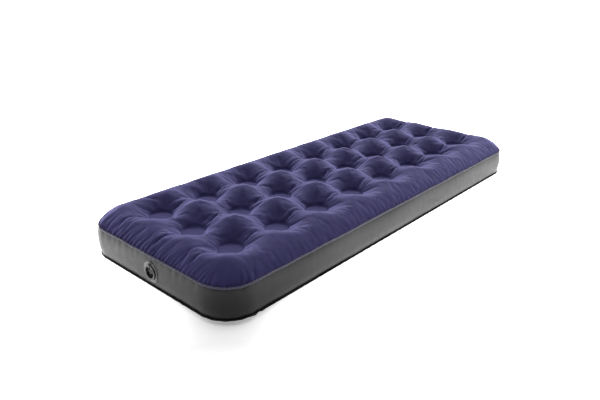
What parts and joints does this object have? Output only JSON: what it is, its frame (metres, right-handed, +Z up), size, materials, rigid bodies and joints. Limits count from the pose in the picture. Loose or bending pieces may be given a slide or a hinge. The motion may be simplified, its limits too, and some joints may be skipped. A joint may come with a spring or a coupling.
{
  "type": "single flocked airbed",
  "caption": "Inflated single airbed with a dimpled flocked top, dark side band, welded seams, inner coil beams and a recessed screw valve in one end.",
  "frame": {"origin": "on the ground under the middle of the bed, on the flat underside", "axes": "+Z up, +Y along the length from the valve end to the far end, +X across the width"},
  "size_m": [0.76, 1.8571, 0.18],
  "materials": {
    "flocked_pvc": "fine blue-violet flock, matt with a soft sheen",
    "band_pvc": "smooth flexible PVC film, satin to gloss",
    "base_pvc": "smooth flexible PVC film, satin",
    "coil_pvc": "plain PVC film",
    "valve_soft_pvc": "soft moulded PVC, slightly glossy",
    "valve_plastic": "moulded plastic, satin",
    "seal_rubber": "plain"
  },
  "bodies": {
    "mattress": {"top_panel": "flocked_pvc", "side_band": "band_pvc", "valve_panel": "band_pvc", "bottom_panel": "base_pvc", "coil_r1_c1": "coil_pvc", "coil_r1_c2": "coil_pvc", "coil_r1_c3": "coil_pvc", "coil_r2_c1": "coil_pvc", "coil_r2_c2": "coil_pvc", "coil_r2_c3": "coil_pvc", "coil_r3_c1": "coil_pvc", "coil_r3_c2": "coil_pvc", "coil_r3_c3": "coil_pvc", "coil_r4_c1": "coil_pvc", "coil_r4_c2": "coil_pvc", "coil_r4_c3": "coil_pvc", "coil_r5_c1": "coil_pvc", "coil_r5_c2": "coil_pvc", "coil_r5_c3": "coil_pvc", "coil_r6_c1": "coil_pvc", "coil_r6_c2": "coil_pvc", "coil_r6_c3": "coil_pvc", "coil_r7_c1": "coil_pvc", "coil_r7_c2": "coil_pvc", "coil_r7_c3": "coil_pvc", "coil_r8_c1": "coil_pvc", "coil_r8_c2": "coil_pvc", "coil_r8_c3": "coil_pvc", "valve_flange": "valve_soft_pvc", "valve_body": "valve_plastic", "valve_grille": "valve_plastic", "cap_strap": "valve_soft_pvc", "flap_clip": "valve_plastic"},
    "strap_eye": {"strap_eye": "valve_soft_pvc"},
    "screw_cap": {"screw_cap": "valve_plastic", "cap_seal": "seal_rubber"},
    "check_flap": {"check_flap": "seal_rubber"}
  },
  "joints": [
    {"name": "cap_travel", "type": "slide", "parent": "mattress", "child": "strap_eye", "axis": [0, -1, 0], "range_m": [0, 0.012], "deforming": ["cap_strap"]},
    {"name": "cap_turn", "type": "hinge", "parent": "strap_eye", "child": "screw_cap", "pos_m": [0.024, -0.925, 0.072], "axis": [0, -1, 0], "range_deg": [0, 1080]},
    {"name": "flap_swing", "type": "hinge", "parent": "mattress", "child": "check_flap", "pos_m": [0.024, -0.90195, 0.089], "axis": [1, 0, 0], "range_deg": [0, 55], "stiffness_Nm_per_rad": 0.0005}
  ],
  "couplings": [
    {"joint": "cap_travel", "follows": "cap_turn", "m_per_rad": 0.00063662}
  ]
}
